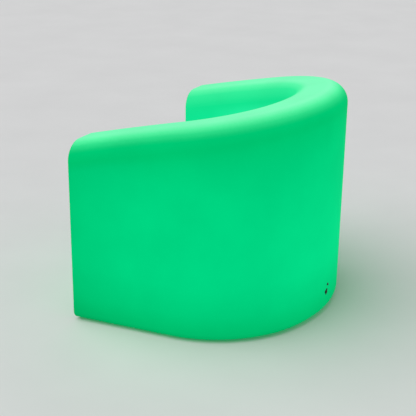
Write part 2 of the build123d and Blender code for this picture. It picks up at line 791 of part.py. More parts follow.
# Charging socket: body, contact block, nut and seal
socket_plane = outward(socket_x, flat_y, socket_z)
with BuildPart() as socket_body:
    with BuildSketch(socket_plane.offset(socket_in)):
        Circle(socket_flange_radius)
    extrude(amount=port_flange_thickness)
    fillet(socket_body.edges().sort_by(Axis.Y)[-1], port_edge_radius)
    with BuildSketch(socket_plane.offset(socket_rear)):
        Circle(port_barrel_radius)
    extrude(amount=socket_in - socket_rear)
    with BuildSketch(socket_plane.offset(socket_rear)):
        Circle(socket_bore_radius)
    extrude(amount=socket_out - socket_rear, mode=Mode.SUBTRACT)
with BuildPart() as socket_contacts:
    with BuildSketch(socket_plane.offset(socket_rear)):
        Circle(socket_bore_radius - snug_clearance)
    extrude(amount=contact_length)
    with BuildSketch(socket_plane.offset(socket_rear)):
        Circle(terminal_radius)
    extrude(amount=-terminal_length)
socket_seal = ring(
    socket_plane, socket_flange_radius, port_barrel_radius + fit_clearance, port_seal_thickness
)
with BuildPart() as port_nuts:
    with BuildSketch(
        outward(button_x, port_inner_y, button_z), outward(socket_x, port_inner_y, socket_z)
    ):
        RegularPolygon(port_nut_radius, hex_sides)
        Circle(port_barrel_radius + fit_clearance, mode=Mode.SUBTRACT)
    extrude(amount=-port_nut_thickness)

# Rubber cap of the socket: it turns on the anchor's bead, towards the button, and has a pull tab
strap_way = Vector(button_x - socket_x, 0, button_z - socket_z).normalized()
strap_plane = Plane((socket_x, flat_y, socket_z), x_dir=strap_way, z_dir=(0, 1, 0))
hinge_centre = Vector(socket_x, flat_y + hinge_lift, socket_z) + strap_way * hinge_reach
hinge_plane = Plane(hinge_centre, x_dir=strap_way, z_dir=strap_way.cross(Vector(0, 1, 0)))
clip_inner = bead_radius + run_clearance
clip_outer = clip_inner + clip_wall
tab_reach = cap_radius + tab_length - tab_width / 2
with BuildPart() as cap_anchor:
    with BuildSketch(strap_plane.offset(port_seal_thickness)):
        Circle(socket_flange_radius)
        with Locations(((hinge_reach - bead_radius / 2) / 2, 0)):
            Rectangle(hinge_reach - bead_radius / 2, strap_width)
        Circle(port_barrel_radius + fit_clearance, mode=Mode.SUBTRACT)
    extrude(amount=anchor_thickness)
    with BuildSketch(hinge_plane):
        Circle(bead_radius)
    extrude(amount=strap_width / 2, both=True)
with BuildPart() as charge_cap:
    with BuildSketch(strap_plane.offset(socket_out + cap_lift)):
        Circle(cap_radius)
    extrude(amount=cap_thickness)
    fillet(charge_cap.edges().sort_by(Axis.Y)[-1], cap_edge_radius)
    with BuildSketch(strap_plane.offset(socket_out + cap_lift)):
        with Locations((hinge_reach / 2, 0)):
            Rectangle(hinge_reach, strap_width)
        with Locations((-tab_reach / 2, 0)):
            Rectangle(tab_reach, tab_width)
        with Locations((-tab_reach, 0)):
            Circle(tab_width / 2)
    extrude(amount=strap_thickness)
    with BuildSketch(strap_plane.offset(socket_out + cap_lift)):
        Circle(socket_bore_radius - snug_clearance)
    extrude(amount=-cap_plug_length)
    with BuildSketch(hinge_plane):
        with BuildLine():
            outer_arc = CenterArc((0, 0), clip_outer, clip_start, clip_end - clip_start)
            inner_arc = CenterArc((0, 0), clip_inner, clip_start, clip_end - clip_start)
            Line(outer_arc @ 0, inner_arc @ 0)
            Line(outer_arc @ 1, inner_arc @ 1)
        make_face()
    extrude(amount=strap_width / 2, both=True)

pieces = {
    "seat_shell": seat_shell,
    "seat_feet": seat_feet,
    "foot_screws": foot_screws,
    "breather_plug": breather,
    "unit_housing": unit_housing,
    "unit_gasket": unit_gasket,
    "unit_screws": unit_screws,
    "unit_inserts": unit_inserts,
    "battery_tray": battery_tray,
    "battery_cells": battery_cells,
    "cell_links": cell_links,
    "battery_pad": battery_pad,
    "control_board": control_board,
    "board_standoffs": board_standoffs,
    "board_screws": board_screws,
    "control_chips": control_chips,
    "board_connectors": board_connectors,
    "unit_deck": unit_deck,
    "deck_gasket": deck_gasket,
    "deck_screws": deck_screws,
    "light_tower": light_tower,
    "tower_screw": tower_screw,
    "lamp_strips": lamp_strips,
    "lamp_chips": lamp_chips,
    "light_dome": light_dome,
    "dome_seal": dome_seal,
    "dome_screws": dome_screws,
    "remote_receiver": remote_receiver,
    "lead_glands": lead_glands,
    "lead_clips": lead_clips,
    "power_button_body": button_body,
    "power_button_stem": button_stem,
    "power_button_spring": button_spring,
    "power_button_contacts": button_contacts,
    "power_button_seal": button_seal,
    "charge_socket_body": socket_body,
    "charge_socket_contacts": socket_contacts,
    "charge_socket_seal": socket_seal,
    "port_nuts": port_nuts,
    "charge_cap_anchor": cap_anchor,
    "charge_cap": charge_cap,
    **leads,
}
os.makedirs("parts", exist_ok=True)
for piece_name, piece in pieces.items():
    piece.part.label = piece_name
    export_step(piece.part, f"parts/{piece_name}.step")
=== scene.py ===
# %% [markdown]
# # A tub seat that lights up
# The real object is one hollow plastic moulding, melted onto the wall of a turning mould, with a lamp
# unit let into its underside. The solids come ready made from the drawing. This lesson gives them their
# finishes, adds the small rubber and wire details that are too fine for the drawing, and lights a studio.

import json
import math

import bmesh
import bpy
from mathutils import Matrix, Vector


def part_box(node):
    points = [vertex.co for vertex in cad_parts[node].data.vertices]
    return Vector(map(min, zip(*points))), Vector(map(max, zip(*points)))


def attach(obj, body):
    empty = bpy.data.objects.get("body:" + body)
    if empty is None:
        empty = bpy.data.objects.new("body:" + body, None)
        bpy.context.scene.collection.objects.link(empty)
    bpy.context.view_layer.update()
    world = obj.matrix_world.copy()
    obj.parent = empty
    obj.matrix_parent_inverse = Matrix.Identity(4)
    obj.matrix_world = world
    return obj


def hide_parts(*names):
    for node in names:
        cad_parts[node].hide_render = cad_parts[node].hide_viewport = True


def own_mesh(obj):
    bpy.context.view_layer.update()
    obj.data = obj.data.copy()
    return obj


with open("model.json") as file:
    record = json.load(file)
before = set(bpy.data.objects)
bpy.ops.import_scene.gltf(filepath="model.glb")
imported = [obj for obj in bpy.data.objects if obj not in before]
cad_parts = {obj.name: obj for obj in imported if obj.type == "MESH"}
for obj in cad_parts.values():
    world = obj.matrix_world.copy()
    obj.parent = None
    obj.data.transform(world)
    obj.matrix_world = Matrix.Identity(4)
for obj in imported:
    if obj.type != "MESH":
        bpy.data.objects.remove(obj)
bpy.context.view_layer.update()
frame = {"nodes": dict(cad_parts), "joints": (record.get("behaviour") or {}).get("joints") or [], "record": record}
nodes = frame["nodes"]

# %% [markdown]
# ## Camera
# The photograph looks at the seat from behind and from the sitter's left, a little from above. A camera
# could be placed by eye, but fitting the seat's own outline to the picture gave its place and its lens.
# The camera looks along its own -Z axis, so its rotation is written as the three axes of its frame.

# %% Place the camera
camera_place = Vector((2.4261, 1.1718, 1.2670))
camera_aim = Vector((-0.0017, -0.0888, 0.2410))
camera_roll = math.radians(0.7051)
camera_lens = 85.55  # millimetres, on a sensor 36 mm wide

camera_data = bpy.data.cameras.new("camera")
camera_data.lens = camera_lens
camera = bpy.data.objects.new("camera", camera_data)
bpy.context.scene.collection.objects.link(camera)
sight = (camera_aim - camera_place).normalized()
level = sight.cross(Vector((0, 0, 1))).normalized()
rise = level.cross(sight)
across = level * math.cos(camera_roll) + rise * math.sin(camera_roll)
upright = rise * math.cos(camera_roll) - level * math.sin(camera_roll)
camera_turn = Matrix((across, upright, -sight)).transposed().to_4x4()
camera.matrix_world = Matrix.Translation(camera_place) @ camera_turn
bpy.context.scene.camera = camera
bpy.context.scene.view_settings.view_transform = "Standard"
print("camera", round((camera_aim - camera_place).length, 2), "m from its aim")

# %% [markdown]
# ## Node helpers
# Every finish and every repeated piece below is a tree of nodes. Drawing each link by hand gets long, so
# one helper makes a node and fills its inputs: an input is given a plain value or the output of another
# node. The sums of the Math nodes work in both kinds of tree, so they have short helpers too.

# %% Make a node, make a sum
def make_node(tree, kind, inputs=None, **settings):
    """Adds one node, sets its options, and fills its inputs by index or name."""
    node = tree.nodes.new(kind)
    for name, value in settings.items():
        setattr(node, name, value)
    for key, value in (inputs or {}).items():
        if isinstance(value, bpy.types.NodeSocket):
            tree.links.new(value, node.inputs[key])
        else:
            node.inputs[key].default_value = value
    return node


def math_step(tree, operation, first, second=0.0, third=0.0):
    """One sum of the Math node."""
    inputs = {0: first, 1: second, 2: third}
    return make_node(tree, "ShaderNodeMath", inputs, operation=operation).outputs[0]


def vector_step(tree, operation, first, second=(0.0, 0.0, 0.0), output=0):
    """One sum of the Vector Math node: output 0 is a vector, output 1 a number."""
    inputs = {0: first, 1: second}
    return make_node(tree, "ShaderNodeVectorMath", inputs, operation=operation).outputs[output]


def split_axes(tree, vector):
    """The X, Y and Z outputs of a vector."""
    return make_node(tree, "ShaderNodeSeparateXYZ", {0: vector}).outputs


print("helpers for nodes and sums ready")

# %% [markdown]
# A finish starts from the Principled shader and from the object's own coordinates, so a pattern stays
# where it is when the piece moves. Most of a finish is then a number that runs from 0 to 1 over the
# surface, and a ramp that turns this number into colours.

# %% Start a finish, mix its colours
def new_finish(name):
    """Starts a material and returns it with its tree, its shader and its object coordinates."""
    material = bpy.data.materials.new(name)
    material.use_nodes = True
    tree = material.node_tree
    coords = make_node(tree, "ShaderNodeTexCoord")
    return material, tree, tree.nodes["Principled BSDF"], coords


def ramp(tree, value, stops):
    """Colour ramp with (position, colour) stops."""
    node = make_node(tree, "ShaderNodeValToRGB", {0: value})
    band = node.color_ramp
    while len(band.elements) < len(stops):
        band.elements.new(1.0)
    for element, (position, colour) in zip(band.elements, stops):
        element.position = position
        element.color = (*colour, 1.0)
    return node.outputs[0]


def span(tree, value, low, high, to_low=0.0, to_high=1.0, smooth=True):
    """Maps low..high to to_low..to_high and holds the ends."""
    kind = "SMOOTHSTEP" if smooth else "LINEAR"
    inputs = {0: value, 1: low, 2: high, 3: to_low, 4: to_high}
    return make_node(tree, "ShaderNodeMapRange", inputs, interpolation_type=kind).outputs[0]


def blend_colour(tree, factor, first, second, blend="MIX"):
    """Mixes two colours."""
    inputs = {0: factor, 6: first, 7: second}
    return make_node(tree, "ShaderNodeMix", inputs, data_type="RGBA", blend_type=blend).outputs[2]


print("helpers for finishes ready")

# %% [markdown]
# No surface is quite even, so each finish has a cloudy noise in it. Nearly all values of the noise lie
# between 0.3 and 0.7. Two helpers spread this range over two colours or over two numbers, and a third
# one turns a noise into fine relief.

# %% Noise and relief
noise_low, noise_high = 0.3, 0.7


def noise(tree, vector, scale, detail=2.0, roughness=0.5):
    """Cloudy noise in object space, 0 to 1."""
    inputs = {"Vector": vector, "Scale": scale, "Detail": detail, "Roughness": roughness}
    return make_node(tree, "ShaderNodeTexNoise", inputs).outputs[0]


def two_tones(tree, cloud, first, second):
    """Colour that drifts between two tones with a noise."""
    return ramp(tree, cloud, [(noise_low, first), (noise_high, second)])


def drift(tree, cloud, first, second):
    """Number that drifts between two values with a noise."""
    return span(tree, cloud, noise_low, noise_high, first, second)


def add_bump(tree, shader, height, distance, strength):
    """Turns a height into a bump on the shader."""
    bump = make_node(tree, "ShaderNodeBump", {"Height": height, "Distance": distance, "Strength": strength})
    tree.links.new(bump.outputs[0], shader.inputs["Normal"])


print("helpers for noise ready")

# %% [markdown]
# ## The glowing plastic
# The moulding is milky plastic about 5 mm thick. Light from the lamp unit scatters inside it, so the wall
# itself seems to shine. A real volume would be slow and noisy, and an exported model would lose it. What
# the eye reads is simpler: how far the wall is from the lamp, how near the floor or the rim it is, and
# which way it faces. So the glow is an emission colour worked out from the place and the facing. Painted
# light goes into it too: a painted highlight of overhead light on the top of the rim, and painted shade
# near the floor.

# %% Distance from the lamp
lamp_place = (0.0, 0.03, 0.215)
lamp_squash = (1.0, 1.0, 0.6)  # light runs up and down the hollow more easily than across it
lamp_near, lamp_far = 0.20, 0.60

glow, tree, shader, coords = new_finish("glow_plastic")
place = coords.outputs["Object"]
facing = coords.outputs["Normal"]
place_y, height = split_axes(tree, place)[1:]
facing_up = split_axes(tree, facing)[2]

from_lamp = vector_step(tree, "SUBTRACT", place, lamp_place)
lamp_way = vector_step(tree, "MULTIPLY", from_lamp, lamp_squash)
lamp_distance = vector_step(tree, "LENGTH", lamp_way, output=1)
lamp_share = span(tree, lamp_distance, lamp_near, lamp_far, smooth=False)
print("lamp at", lamp_place, "lights the wall from", lamp_near, "to", lamp_far, "m")

# %% [markdown]
# The rim climbs from the arms to the back in one slightly bowed line. A point's depth below that line
# tells the rim from the wall. Whether a wall faces out or into the tub follows from its normal and the
# way from the middle of the tub.

# %% Rim and inside of the tub
arm_crest, back_crest, crest_bow = 0.5135, 0.640, 0.006
rim_depth, wall_depth = 0.050, 0.085  # below the crest: where the rim ends and where the wall begins
base_top, deck_bottom = 0.25, 0.33  # the inside of the tub is all above this
well_middle = (0.0, -0.05, 0.0)
facing_soft = 0.10
deck_tilt, deck_level = 0.30, 0.80
front_y, back_y = (corner[1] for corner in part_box("seat_shell"))

along = span(tree, place_y, front_y, back_y, smooth=False)
bend_down = math_step(tree, "MULTIPLY", along, -4 * crest_bow)
slope_up = math_step(tree, "ADD", bend_down, back_crest - arm_crest + 4 * crest_bow)
crest = math_step(tree, "MULTIPLY_ADD", along, slope_up, arm_crest)
below_crest = math_step(tree, "SUBTRACT", crest, height)
near_rim = span(tree, below_crest, rim_depth, wall_depth, 1.0, 0.0)

from_middle = vector_step(tree, "SUBTRACT", place, well_middle)
flat_way = vector_step(tree, "MULTIPLY", from_middle, (1.0, 1.0, 0.0))
out_way = vector_step(tree, "NORMALIZE", flat_way)
outward = vector_step(tree, "DOT_PRODUCT", out_way, facing, output=1)
inside_wall = span(tree, outward, facing_soft, -facing_soft)

upward = span(tree, facing_up, deck_tilt, deck_level)
deck = math_step(tree, "MULTIPLY", upward, math_step(tree, "SUBTRACT", 1.0, near_rim))
raised = span(tree, height, base_top, deck_bottom)
inside = math_step(tree, "MULTIPLY", raised, math_step(tree, "MAXIMUM", inside_wall, deck))
print("seat runs from", round(front_y, 4), "at the front to", round(back_y, 4), "m at the back")

# %% [markdown]
# The colours below are linear light. Green plastic light has almost no red in it until it gets very
# bright: then it pales to mint. The inside of the tub is lit twice, through its own wall and from the
# walls round it, so it is brighter than the outside.

# %% Glow of the walls
outer_stops = [
    (0.00, (0.004, 0.755, 0.269)),
    (0.17, (0.001, 0.700, 0.238)),
    (0.33, (0.000, 0.665, 0.222)),
    (0.55, (0.000, 0.645, 0.212)),
    (0.72, (0.000, 0.604, 0.195)),
    (1.00, (0.000, 0.490, 0.146)),
]
inner_stops = [(0.00, (0.030, 0.875, 0.385)), (0.40, (0.006, 0.775, 0.288)), (1.00, (0.003, 0.670, 0.232))]
outer_glow = ramp(tree, lamp_share, outer_stops)
inner_glow = ramp(tree, lamp_share, inner_stops)
wall_glow = blend_colour(tree, inside, outer_glow, inner_glow)
print("wall glow has", len(outer_stops), "stops outside and", len(inner_stops), "inside")

# %% [markdown]
# Near the floor the wall has no lit hollow behind it, so its glow falls off, and painted shade from the
# floor darkens it further. Just under the rim the wall is furthest from the lamp, so it is dimmer. The dim
# band under the rim is short and faint on the arms, deepest on the shoulders and long at the back, so its
# end and its share depend on the place along the seat.

# %% Painted shade at the floor, dim band under the rim
floor_band = 0.20
band_at_front, band_growth = 0.085, 0.34
band_shares = [(0.00, 0.40), (0.18, 0.60), (0.40, 1.00), (0.60, 0.90), (1.00, 0.85)]  # place along, share
white = (1.0, 1.0, 1.0)

# painted shade: the wall is drawn darker towards the floor, on top of the glow's own falloff at the base
floor_shade_stops = [
    (0.02, (0.50, 0.560, 0.460)),
    (0.12, (0.70, 0.756, 0.668)),
    (0.24, (0.80, 0.815, 0.740)),
    (0.40, (0.90, 0.880, 0.840)),
    (0.80, (1.00, 0.985, 0.980)),
    (1.00, white),
]
rim_stops = [
    (0.00, (1.0, 0.825, 0.710)),
    (0.10, (1.0, 0.848, 0.757)),
    (0.25, (1.0, 0.900, 0.855)),
    (0.55, (1.0, 0.965, 0.953)),
    (1.00, white),
]
floor_shade = ramp(tree, span(tree, height, 0.0, floor_band, smooth=False), floor_shade_stops)
band_end = math_step(tree, "MULTIPLY_ADD", along, band_growth, band_at_front)
full_band = ramp(tree, span(tree, below_crest, rim_depth, band_end, smooth=False), rim_stops)
band_share = ramp(tree, along, [(spot, (share, share, share)) for spot, share in band_shares])
rim_shade = blend_colour(tree, band_share, (*white, 1.0), full_band)
outer_shade = blend_colour(tree, 1.0, floor_shade, rim_shade, "MULTIPLY")
shade = blend_colour(tree, inside, outer_shade, (*white, 1.0))
lit_wall = blend_colour(tree, 1.0, wall_glow, shade, "MULTIPLY")
print("dim band under the rim ends", band_at_front, "m below the arms' crest")

# %% [markdown]
# The rounded rim is the brightest place: it glows like the wall, and a painted highlight of overhead
# light lies on its top. How bright it is follows how far it faces up: mint on top, and back to green where
# it turns down into the wall.

# %% Glow of the rim, with its painted highlight
# painted highlight: the pale mint that overhead light gives the upward-facing top of the rim
crest_highlight_mint = (0.236, 0.970, 0.522)
outer_rim_stops = [
    (0.00, (0.000, 0.540, 0.156)),
    (0.40, (0.000, 0.568, 0.170)),
    (0.52, (0.006, 0.592, 0.184)),
    (0.71, (0.028, 0.715, 0.248)),
    (0.87, (0.092, 0.890, 0.360)),
    (0.97, (0.182, 0.955, 0.468)),
    (1.00, crest_highlight_mint),
]
inner_rim_stops = [
    (0.00, (0.007, 0.745, 0.268)),
    (0.60, (0.034, 0.820, 0.315)),
    (0.85, (0.105, 0.915, 0.395)),
    (1.00, crest_highlight_mint),
]
# the rim's glow plus a painted highlight that grows paler the more the surface faces up
outer_rim = ramp(tree, facing_up, outer_rim_stops)
inner_rim = ramp(tree, facing_up, inner_rim_stops)
rim_glow_and_highlight = blend_colour(tree, inside_wall, outer_rim, inner_rim)
clean_glow = blend_colour(tree, near_rim, lit_wall, rim_glow_and_highlight)
print("rim glow has", len(outer_rim_stops), "stops outside and", len(inner_rim_stops), "inside")

# %% [markdown]
# A wall that melts onto a turning mould is never quite even, so the light has soft clouds in it, and the
# skin has the fine dimple of the mould. The clouds go into the glow, the dimple into a bump. The skin is
# satin and dark beside its own light, so it mirrors very little of the studio.

# %% Clouds and skin of the plastic
cloud_scale, dimple_scale = 5.5, 420.0  # blobs to the metre
dimple_depth, dimple_strength = 0.0004, 0.25

clouds = noise(tree, place, cloud_scale, 3.0, 0.55)
dimple = noise(tree, place, dimple_scale, 2.0, 0.6)
cloud_level = drift(tree, clouds, 0.970, 1.020)
dimple_level = drift(tree, dimple, 0.985, 1.015)
glow_level = math_step(tree, "MULTIPLY", cloud_level, dimple_level)
level_colour = make_node(tree, "ShaderNodeCombineColor", {0: glow_level, 1: glow_level, 2: glow_level})
glow_colour = blend_colour(tree, 1.0, clean_glow, level_colour.outputs[0], "MULTIPLY")
skin_colour = two_tones(tree, clouds, (0.0, 0.018, 0.007), (0.0, 0.030, 0.012))
tree.links.new(glow_colour, shader.inputs["Emission Color"])
tree.links.new(skin_colour, shader.inputs["Base Color"])
tree.links.new(drift(tree, dimple, 0.50, 0.62), shader.inputs["Roughness"])
shader.inputs["Emission Strength"].default_value = 1.0
shader.inputs["Specular IOR Level"].default_value = 0.001
add_bump(tree, shader, dimple, dimple_depth, dimple_strength)
finishes = {"glow_plastic": glow}
print("glow_plastic has", len(tree.nodes), "nodes")

# %% [markdown]
# ## Plastics, rubbers and metals
# Most other pieces are plastics, rubbers and plated metals. They share one recipe: a colour that drifts
# between two near tones, a roughness that drifts with it, and a fine bump. The numbers make the material.
# The drawn marks of extruded aluminium are the same grain, stretched along the bar.

# %% Finishes with a grain
grain_low, grain_high = 0.35, 0.65  # the mean of two noises spreads less than one noise
patch_share = 0.12  # how fine the patches are beside the grain
relief_strength = 0.4


def grained_finish(name, tones, grain_size, rough, bump_depth, metallic=0.0, stretch=(1.0, 1.0, 1.0)):
    """Finish with two near tones, a roughness range and a grain, whose size is in metres."""
    material, tree, shader, coords = new_finish(name)
    mapping = make_node(tree, "ShaderNodeMapping", {"Vector": coords.outputs["Object"], "Scale": stretch})
    grain = noise(tree, mapping.outputs[0], 1.0 / grain_size, 3.0, 0.6)
    patches = noise(tree, mapping.outputs[0], patch_share / grain_size)
    mixed = math_step(tree, "MULTIPLY_ADD", grain, 0.5, math_step(tree, "MULTIPLY", patches, 0.5))
    colour = ramp(tree, mixed, [(grain_low, tones[0]), (grain_high, tones[1])])
    tree.links.new(colour, shader.inputs["Base Color"])
    tree.links.new(span(tree, mixed, grain_low, grain_high, *rough), shader.inputs["Roughness"])
    shader.inputs["Metallic"].default_value = metallic
    add_bump(tree, shader, grain, bump_depth, relief_strength)
    return material


grained_recipes = {
    "black_rubber": (((0.012, 0.013, 0.013), (0.026, 0.027, 0.026)), 0.0012, (0.62, 0.80), 0.00010),
    "black_plastic": (((0.016, 0.017, 0.018), (0.028, 0.029, 0.030)), 0.0008, (0.34, 0.48), 0.00005),
    "white_plastic": (((0.70, 0.70, 0.67), (0.78, 0.78, 0.76)), 0.0020, (0.38, 0.50), 0.00005),
    "steel": (((0.52, 0.53, 0.54), (0.66, 0.66, 0.67)), 0.0010, (0.24, 0.38), 0.00002, 1.0),
    "brass": (((0.58, 0.40, 0.15), (0.74, 0.54, 0.24)), 0.0010, (0.26, 0.40), 0.00002, 1.0),
    "nickel": (((0.60, 0.57, 0.52), (0.70, 0.67, 0.62)), 0.0010, (0.20, 0.32), 0.00002, 1.0),
    "aluminium": (((0.70, 0.71, 0.72), (0.82, 0.83, 0.84)), 0.0010, (0.30, 0.46), 0.00003, 1.0, (1, 1, 0.04)),
    "foam": (((0.10, 0.10, 0.11), (0.20, 0.20, 0.21)), 0.0015, (0.85, 0.95), 0.00040),
    "lead_sheath": (((0.015, 0.015, 0.016), (0.030, 0.030, 0.032)), 0.0015, (0.45, 0.58), 0.00004),
}
for finish_name, recipe in grained_recipes.items():
    finishes[finish_name] = grained_finish(finish_name, *recipe)
print("grained finishes:", ", ".join(sorted(grained_recipes)))

# %% [markdown]
# ## Dome and lamp chips
# The dome over the lamps is clear moulded plastic with a faint haze. Each lamp chip has a window of
# yellow phosphor, which shines green here. Clearness and light are sockets of the same shader, so two
# short trees are enough.

# %% Clear dome, lamp windows
def dome_finish():
    """Clear plastic with a faint haze."""
    material, tree, shader, coords = new_finish("clear_plastic")
    haze = noise(tree, coords.outputs["Object"], 60.0)
    colour = two_tones(tree, haze, (0.90, 0.95, 0.93), (0.97, 0.99, 0.98))
    tree.links.new(colour, shader.inputs["Base Color"])
    tree.links.new(drift(tree, haze, 0.06, 0.16), shader.inputs["Roughness"])
    shader.inputs["Transmission Weight"].default_value = 1.0
    shader.inputs["IOR"].default_value = 1.49
    return material


def lamp_finish():
    """Grainy phosphor that shines green."""
    material, tree, shader, coords = new_finish("lamp_lens")
    phosphor = noise(tree, coords.outputs["Object"], 900.0)
    colour = two_tones(tree, phosphor, (0.62, 0.55, 0.10), (0.80, 0.74, 0.22))
    light = two_tones(tree, phosphor, (0.02, 0.90, 0.35), (0.10, 1.00, 0.45))
    tree.links.new(colour, shader.inputs["Base Color"])
    tree.links.new(light, shader.inputs["Emission Color"])
    shader.inputs["Emission Strength"].default_value = 1.5
    shader.inputs["Roughness"].default_value = 0.25
    return material


finishes["clear_plastic"] = dome_finish()
finishes["lamp_lens"] = lamp_finish()
print("dome and lamp finishes made")

# %% [markdown]
# ## Battery sleeve and circuit board
# A battery cell wears a blue shrink sleeve that ends just below its bare metal top. Height along the cell
# picks the colour. The board is green lacquer over copper tracks: a brick pattern gives the straight
# tracks, and they stand up a little through the lacquer.

# %% Battery sleeve, board with tracks
def sleeve_finish():
    """Shrink sleeve with a bare metal top."""
    bottom, top = (corner[2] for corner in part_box("battery_cells"))
    material, tree, shader, coords = new_finish("cell_wrap")
    up_the_cell = span(tree, split_axes(tree, coords.outputs["Object"])[2], bottom, top, smooth=False)
    wrinkle = noise(tree, coords.outputs["Object"], 350.0, 3.0)
    sleeve_stops = [
        (0.00, (0.05, 0.16, 0.30)),
        (0.93, (0.06, 0.19, 0.35)),
        (0.94, (0.72, 0.72, 0.70)),
        (1.00, (0.66, 0.66, 0.65)),
    ]
    tree.links.new(ramp(tree, up_the_cell, sleeve_stops), shader.inputs["Base Color"])
    tree.links.new(drift(tree, wrinkle, 0.26, 0.40), shader.inputs["Roughness"])
    add_bump(tree, shader, wrinkle, 0.00005, 0.3)
    return material


def board_finish():
    """Green lacquer over copper tracks."""
    material, tree, shader, coords = new_finish("circuit_board")
    track_look = {
        "Vector": coords.outputs["Object"],
        "Color1": (0.010, 0.085, 0.045, 1.0),
        "Color2": (0.012, 0.105, 0.055, 1.0),
        "Mortar": (0.030, 0.190, 0.090, 1.0),
        "Scale": 180.0,
        "Mortar Size": 0.06,
    }
    tracks = make_node(tree, "ShaderNodeTexBrick", track_look)
    lacquer = noise(tree, coords.outputs["Object"], 500.0)
    tree.links.new(tracks.outputs[0], shader.inputs["Base Color"])
    tree.links.new(drift(tree, lacquer, 0.22, 0.36), shader.inputs["Roughness"])
    add_bump(tree, shader, tracks.outputs[1], 0.00003, 0.5)
    return material


finishes["cell_wrap"] = sleeve_finish()
finishes["circuit_board"] = board_finish()
print("all finishes:", len(finishes))

# %% [markdown]
# ## Dressing the solids
# Every solid keeps its mesh and gets the finish of what it is made of on the real seat. The record that
# comes with the frame says which finish each piece has, so one loop dresses them all.

# %% Give each piece its finish
subparts = frame["record"]["subparts"]
for subpart in subparts:
    for slot in nodes[subpart["node"]].material_slots:
        slot.material = finishes[subpart["material_slot"]]
print("dressed", len(subparts), "of", len(nodes), "pieces")

# %% [markdown]
# ## Small pieces from node trees
# Feet, grips and a spring repeat one shape or follow one path. They could be copied and placed one by one,
# but a node tree says the rule once: points, what stands on each point, and how large it is. One helper
# starts a tree with named inputs, one closes it, and one runs it and keeps the result as a plain mesh.

# %% Start, close and run a tree
crease_angle = math.radians(40)


def new_tree(name, sizes):
    """Starts a geometry tree whose named inputs are given as {name: socket kind}."""
    tree = bpy.data.node_groups.new(name, "GeometryNodeTree")
    for socket_name, kind in sizes.items():
        tree.interface.new_socket(socket_name, in_out="INPUT", socket_type=kind)
    tree.interface.new_socket("Geometry", in_out="OUTPUT", socket_type="NodeSocketGeometry")
    return tree, tree.nodes.new("NodeGroupInput").outputs


def end_tree(tree, geometry, material):
    """Closes a tree: smooth faces, real geometry in place of instances, and one material."""
    smooth = make_node(tree, "GeometryNodeSetShadeSmooth", {0: geometry})
    real = make_node(tree, "GeometryNodeRealizeInstances", {0: smooth.outputs[0]})
    painted = make_node(tree, "GeometryNodeSetMaterial", {0: real.outputs[0], 2: material})
    make_node(tree, "NodeGroupOutput", {0: painted.outputs[0]})


def grow_piece(name, tree, values, start_mesh=None, place=None):
    """Runs a tree with its inputs set and returns an object that holds the result as a plain mesh."""
    piece = bpy.data.objects.new(name, start_mesh or bpy.data.meshes.new(name))
    bpy.context.scene.collection.objects.link(piece)
    modifier = piece.modifiers.new("grow", "NODES")
    modifier.node_group = tree
    for socket in tree.interface.items_tree:
        if socket.in_out == "INPUT" and socket.name in values:
            modifier[socket.identifier] = values[socket.name]
    graph = bpy.context.evaluated_depsgraph_get()
    mesh = bpy.data.meshes.new_from_object(piece.evaluated_get(graph), depsgraph=graph)
    piece.modifiers.clear()
    mesh.name = name
    if place:
        mesh.transform(place)
    mesh.set_sharp_from_angle(angle=crease_angle)
    piece.data = mesh
    print(name, "has", len(mesh.polygons), "faces")
    return piece


print("helpers for trees ready")

# %% [markdown]
# ## Rubber feet
# Four rubber pads carry the seat. Each is turned: a flat pad with a sunk hole for its screw and a tread of
# round grooves, so that it grips a wet terrace. The drawing's pads say where the four stand and how large
# they are. The section of one pad is a list of points, radius and height, from the screw hole outwards.

# %% Draw the section of a foot
screw_hole, screw_sink_radius, screw_sink = 0.0026, 0.0048, 0.0030
groove_radii = (0.0085, 0.0120, 0.0155)
groove_half, groove_depth = 0.0007, 0.0009
edge_round, edge_steps = 0.0010, 4

feet_low, feet_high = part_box("seat_feet")
foot_height = feet_high[2] - feet_low[2]
pad_points = {}
for vertex in nodes["seat_feet"].data.vertices:
    pad_points.setdefault((vertex.co.x > 0, vertex.co.y > 0), []).append(vertex.co)
foot_places = []
for points in pad_points.values():
    reach_x = [point.x for point in points]
    reach_y = [point.y for point in points]
    foot_places.append(((min(reach_x) + max(reach_x)) / 2, (min(reach_y) + max(reach_y)) / 2, feet_low[2]))
foot_radius = (max(reach_x) - min(reach_x)) / 2

section = [(screw_hole, foot_height), (screw_hole, screw_sink), (screw_sink_radius, screw_sink)]
section.append((screw_sink_radius, 0.0))
for radius in groove_radii:
    section += [(radius - groove_half, 0.0), (radius - groove_half / 2, groove_depth)]
    section += [(radius + groove_half / 2, groove_depth), (radius + groove_half, 0.0)]
for step in range(edge_steps + 1):
    turned = math.radians(90 * step / edge_steps)
    out = foot_radius - edge_round * (1 - math.sin(turned))
    section.append((out, edge_round * (1 - math.cos(turned))))
section.append((foot_radius, foot_height))
print("section has", len(section), "points, feet at", [[round(v, 4) for v in spot] for spot in foot_places])

# %% [markdown]
# On a lathe the section is spun round the axis of the screw. Spin does the same in a bmesh. Its last ring
# lies on its first, so the doubles are merged, and the faces are then turned outwards.

# %% Turn one foot
spin_steps = 64

foot_form = bmesh.new()
ring = [foot_form.verts.new((radius, 0.0, z)) for radius, z in section]
edges = [foot_form.edges.new((ring[i - 1], ring[i])) for i in range(len(ring))]
bmesh.ops.spin(
    foot_form, geom=ring + edges, cent=(0, 0, 0), axis=(0, 0, 1), angle=math.tau, steps=spin_steps
)
bmesh.ops.remove_doubles(foot_form, verts=foot_form.verts, dist=1e-6)
bmesh.ops.recalc_face_normals(foot_form, faces=foot_form.faces)
foot_mesh = bpy.data.meshes.new("one_foot")
foot_form.to_mesh(foot_mesh)
foot_form.free()
print("one foot has", len(foot_mesh.polygons), "faces")

# %% [markdown]
# The tree stands the pad on each of the four points. The pads in the drawing are plain discs, so the
# treaded ones take their place and move with the seat.

